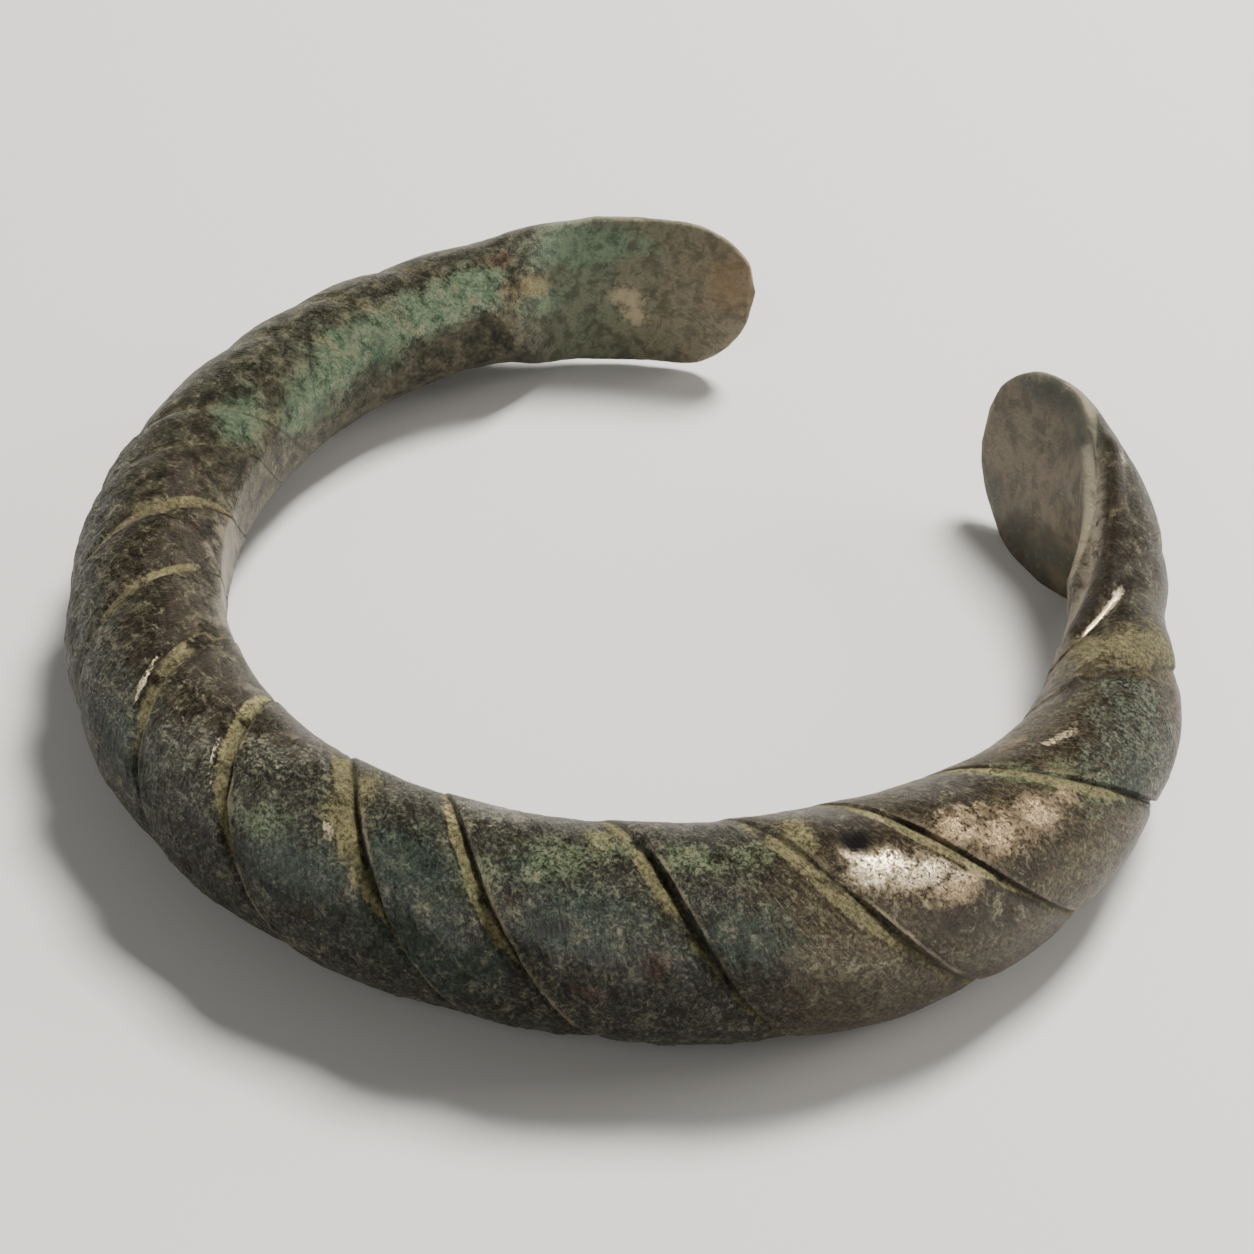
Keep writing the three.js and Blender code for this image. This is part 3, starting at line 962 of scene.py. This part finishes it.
# Green crust, over broad areas and in patches
crusted = larger(ragged("broad crust", 0.55, 0.4) * 0.85, ragged("crust", 0.35, 0.25))
crust_here = crusted * between(blotchy, 0.28, 0.52)
thin_crust = painted("crust pits", "crust grains", between(grainy, 0.45, 0.64))
thick_crust = painted("thick crust pits", "thick crust grains", between(grainy, 0.44, 0.60))
colour = painted(colour, painted(thin_crust, thick_crust, seen("crust")), crust_here * 0.85)
teal = ragged("teal", 0.45, 0.35) * between(grainy, 0.38, 0.58)
colour = painted(colour, "teal", teal * 0.60)
light_green = ragged("light green", 0.56, 0.40) * between(grainy, 0.40, 0.60)
colour = painted(colour, "light green", light_green * 0.80)
turquoise_tone = painted("turquoise pits", "turquoise grains", mottle)
turquoise_tone = painted(turquoise_tone, "turquoise clouds", between(cloudy, 0.52, 0.66) * 0.8)
colour = painted(colour, turquoise_tone, ragged("turquoise", 0.42, 0.4) * 0.80)

# Light wear on the inside of the ring, along the crests, and on the raised rim, and painted shade
# in the channel beside it
worn = worn_inside * on_bar
colour = painted(colour, "inner wear", worn * between(blotchy, 0.38, 0.62) * 0.40)
# Light grey on the inner face of the left limb: wear, and partly a painted sheen
grey = ragged("grey", 0.40, 0.4)
colour = painted(colour, "grey wear and sheen", grey * 0.85)
edge_wear = between(crest + (grainy - 0.5) * 1.4, 0.50, 0.95) * between(cloudy, 0.40, 0.62)
colour = painted(colour, "edge wear", edge_wear * 0.55)
rim = seen("rim")
colour = painted(colour, "rim", rim * between(blotchy, 0.25, 0.55) * 0.75)
# Painted shade in the channel beside the rim
colour = painted(colour, "channel", seen("channel") * (1.0 - rim) * 0.75)

# Soil lies in the seams and on a few patches
soil_here = between(cloudy + (blotchy - 0.5) * 0.5, 0.34, 0.50)
in_seam = between(seam_soil + (grainy - 0.5) * 0.9 + (blotchy - 0.5) * 0.9, 0.28, 0.95) * soil_here
soil = larger(in_seam, ragged("tan", 0.50, 0.35) * 0.75)
soil_grains = painted("light soil grains", "dark soil grains", past(bar_along, "soil darkens"))
soil_tone = painted("soil pits", soil_grains, between(grainy, 0.36, 0.62))
colour = painted(colour, soil_tone, soil * 0.84)

# Small stains
colour = painted(colour, "red stain", ragged("red", 0.45, 0.35) * high_grain * 0.75)
colour = painted(colour, "ochre stain", ragged("ochre", 0.50, 0.4) * 0.38)
colour = painted(colour, "cream stain", ragged("cream", 0.52, 0.35) * 0.75)

# Rubbed metal, spotted where the patina stays in its pits, with a painted highlight: a silvery
# core on the rubbed patches, the lip glints and the streaks
black = ragged("black", 0.45, 0.25)
rubbed_highlight = ragged("rubbed_highlight", 0.48, 0.42)
gold = ragged("gold", 0.50, 0.48)
# Painted highlights along the streaks on the small ridges
highlight_streaks = larger(seen("streak") * 0.9, larger(seen("streak end"), seen("short streak") * 0.7))
streak_highlight = between(highlight_streaks + (grainy - 0.5) * 0.8, 0.40, 0.80)
# Painted glints on the lips
lip_glint = between(lip_mark * seen("lip glints") + (grainy - 0.5) * 1.8, 0.58, 0.86)
rubbed_grain = between(grainy + (fine - 0.5) * 0.4, 0.36, 0.47)
bare = larger(rubbed_highlight, gold * 0.85) * (1.0 - black) * rubbed_grain
bare = larger(bare, larger(streak_highlight * 0.85, lip_glint * 0.8))
# Where the painted highlight turns the rubbed metal silvery
highlight_core = larger(rubbed_highlight, larger(streak_highlight, lip_glint))
colour = painted(colour, painted("golden metal", "painted highlight on metal", highlight_core), bare)
colour = painted(colour, "black spot", black)
# Painted shade in the crevices of the seams
crevice_shade = crevice * between(grainy, 0.20, 0.45)
colour = painted(colour, "crevice", crevice_shade)
plug(patina_tree, colour, surface.inputs["Base Color"])

# Soil and crust are dull and not metallic, and bare metal is the smoothest
dull = larger(larger(soil, crust_here), larger(crevice_shade, on_paddle))
metallic = larger(bare, (1.0 - dull) * mix(0.60, 0.85, edge_wear))
plug(patina_tree, metallic, surface.inputs["Metallic"])
roughness = mix(0.33, 0.46, between(blotchy, 0.35, 0.65))
roughness = mix(roughness, 0.48, larger(crust_here, on_paddle))
roughness = mix(roughness, 0.30, brown * 0.8)
roughness = mix(roughness, 0.75, soil)
roughness = mix(roughness, 0.27, bare)
roughness = roughness + (fine - 0.5) * 0.35
plug(patina_tree, roughness, surface.inputs["Roughness"])

# Fine relief, in millimetres: grains, veins of the corrosion and the pits of the crust
smoothness = (1.0 - brown * 0.65) * (1.0 - bare * 0.94) * (1.0 - streak_highlight * 0.8)
smoothness = smoothness * (1.0 - grey * 0.6) * (1.0 - on_paddle * 0.6)
relief = ((grainy - 0.5) * 0.46 + (fibrous - 0.5) * 0.14 + (fine - 0.5) * 0.08) * smoothness
relief = relief + (blotchy - 0.5) * 0.30 * crust_here + (grainy - 0.5) * seen("crust") * 0.25 + soil * 0.05
bump = patina_tree.nodes.new("ShaderNodeBump")
bump.inputs["Distance"].default_value = MILLIMETRE
plug(patina_tree, relief, bump.inputs["Height"])
patina_tree.links.new(bump.outputs["Normal"], surface.inputs["Normal"])

# A thin coat of wax, which gives the dark metal its gloss
surface.inputs["Specular IOR Level"].default_value = 0.38
plug(patina_tree, mix(0.22, 0.04, soil), surface.inputs["Coat Weight"])
surface.inputs["Coat Roughness"].default_value = 0.17
patina_tree.links.new(bump.outputs["Normal"], surface.inputs["Coat Normal"])

# The tree makes the bangle once, and the result is kept as a plain mesh
maker = bpy.data.objects.new("bangle maker", bpy.data.meshes.new("bangle maker"))
bpy.context.scene.collection.objects.link(maker)
bangle_modifier = maker.modifiers.new("Twisted bangle", "NODES")
bangle_modifier.node_group = bangle_tree
for size_name, size_value in BANGLE_SIZES.items():
    bangle_modifier[socket_names[size_name]] = size_value
bangle_modifier[socket_names["Patina"]] = patina
evaluated = bpy.context.evaluated_depsgraph_get()
bangle_mesh = bpy.data.meshes.new_from_object(maker.evaluated_get(evaluated), depsgraph=evaluated)
bangle_mesh.name = "bangle"
maker.modifiers.remove(bangle_modifier)
bpy.data.objects.remove(maker)
bangle = bpy.data.objects.new("bangle", bangle_mesh)
bpy.context.scene.collection.objects.link(bangle)

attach(bangle, "root")
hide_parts("twisted_bangle")


# The floor: a plain pale studio surface, wide enough to fill the picture
FLOOR_HALF_WIDTH = 3.0
FLOOR_COLOUR = (0.60, 0.60, 0.59, 1.0)
FLOOR_ROUGHNESS = 0.7
floor_mesh = bpy.data.meshes.new("floor")
floor_corners = [
    (-FLOOR_HALF_WIDTH, -FLOOR_HALF_WIDTH, 0.0),
    (FLOOR_HALF_WIDTH, -FLOOR_HALF_WIDTH, 0.0),
    (FLOOR_HALF_WIDTH, FLOOR_HALF_WIDTH, 0.0),
    (-FLOOR_HALF_WIDTH, FLOOR_HALF_WIDTH, 0.0),
]
floor_mesh.from_pydata(floor_corners, [], [(0, 1, 2, 3)])
floor = bpy.data.objects.new("floor", floor_mesh)
bpy.context.scene.collection.objects.link(floor)
floor_paint = bpy.data.materials.new("Pale floor")
floor_paint.use_nodes = True
floor_shader = floor_paint.node_tree.nodes["Principled BSDF"]
floor_shader.inputs["Base Color"].default_value = FLOOR_COLOUR
floor_shader.inputs["Roughness"].default_value = FLOOR_ROUGHNESS
floor_mesh.materials.append(floor_paint)


# The camera looks down on the front of the bangle, from the right of its middle
CAMERA_TARGET = Vector((0.001579, -0.000137, 0.006229))
CAMERA_TURN = math.radians(37.23)
CAMERA_HEIGHT_ANGLE = math.radians(43.94)
CAMERA_DISTANCE = 0.1823
CAMERA_VIEW_ANGLE = math.radians(25.0)
camera_direction = Vector(
    (
        math.sin(CAMERA_TURN) * math.cos(CAMERA_HEIGHT_ANGLE),
        -math.cos(CAMERA_TURN) * math.cos(CAMERA_HEIGHT_ANGLE),
        math.sin(CAMERA_HEIGHT_ANGLE),
    )
)
camera_data = bpy.data.cameras.new("camera")
camera_data.angle = CAMERA_VIEW_ANGLE
camera_data.clip_start = 0.01
camera = bpy.data.objects.new("camera", camera_data)
camera.location = CAMERA_TARGET + camera_direction * CAMERA_DISTANCE
camera.rotation_euler = camera_direction.to_track_quat("Z", "Y").to_euler()
bpy.context.scene.collection.objects.link(camera)
bpy.context.scene.camera = camera


# Light: a soft one from above, right and behind, a weaker one from the right, and a broad faint
# one from the front left
LIGHTS = [
    {"name": "key", "side": 0.35, "back": 0.42, "up": 0.85, "size": 0.20, "watts": 13.0},
    {"name": "side", "side": 1.0, "back": 0.15, "up": 0.45, "size": 0.30, "watts": 2.6},
    {"name": "fill", "side": -0.4, "back": -0.8, "up": 0.6, "size": 0.7, "watts": 1.3},
]
LIGHT_DISTANCE = 0.7
LIGHT_COLOUR = (1.0, 0.96, 0.90)
STUDIO_COLOUR = (1.0, 0.97, 0.93, 1.0)
STUDIO_STRENGTH = 0.20
to_right = Vector((math.cos(CAMERA_TURN), math.sin(CAMERA_TURN), 0.0))
to_back = Vector((-math.sin(CAMERA_TURN), math.cos(CAMERA_TURN), 0.0))
for wanted in LIGHTS:
    aim = to_right * wanted["side"] + to_back * wanted["back"] + Vector((0.0, 0.0, wanted["up"]))
    lamp_data = bpy.data.lights.new(wanted["name"], "AREA")
    lamp_data.size = wanted["size"]
    lamp_data.energy = wanted["watts"]
    lamp_data.color = LIGHT_COLOUR
    lamp = bpy.data.objects.new(wanted["name"], lamp_data)
    lamp.location = CAMERA_TARGET + aim.normalized() * LIGHT_DISTANCE
    lamp.rotation_euler = aim.to_track_quat("Z", "Y").to_euler()
    bpy.context.scene.collection.objects.link(lamp)
world = bpy.data.worlds.new("studio")
world.use_nodes = True
studio_light = world.node_tree.nodes["Background"]
studio_light.inputs["Color"].default_value = STUDIO_COLOUR
studio_light.inputs["Strength"].default_value = STUDIO_STRENGTH
bpy.context.scene.world = world
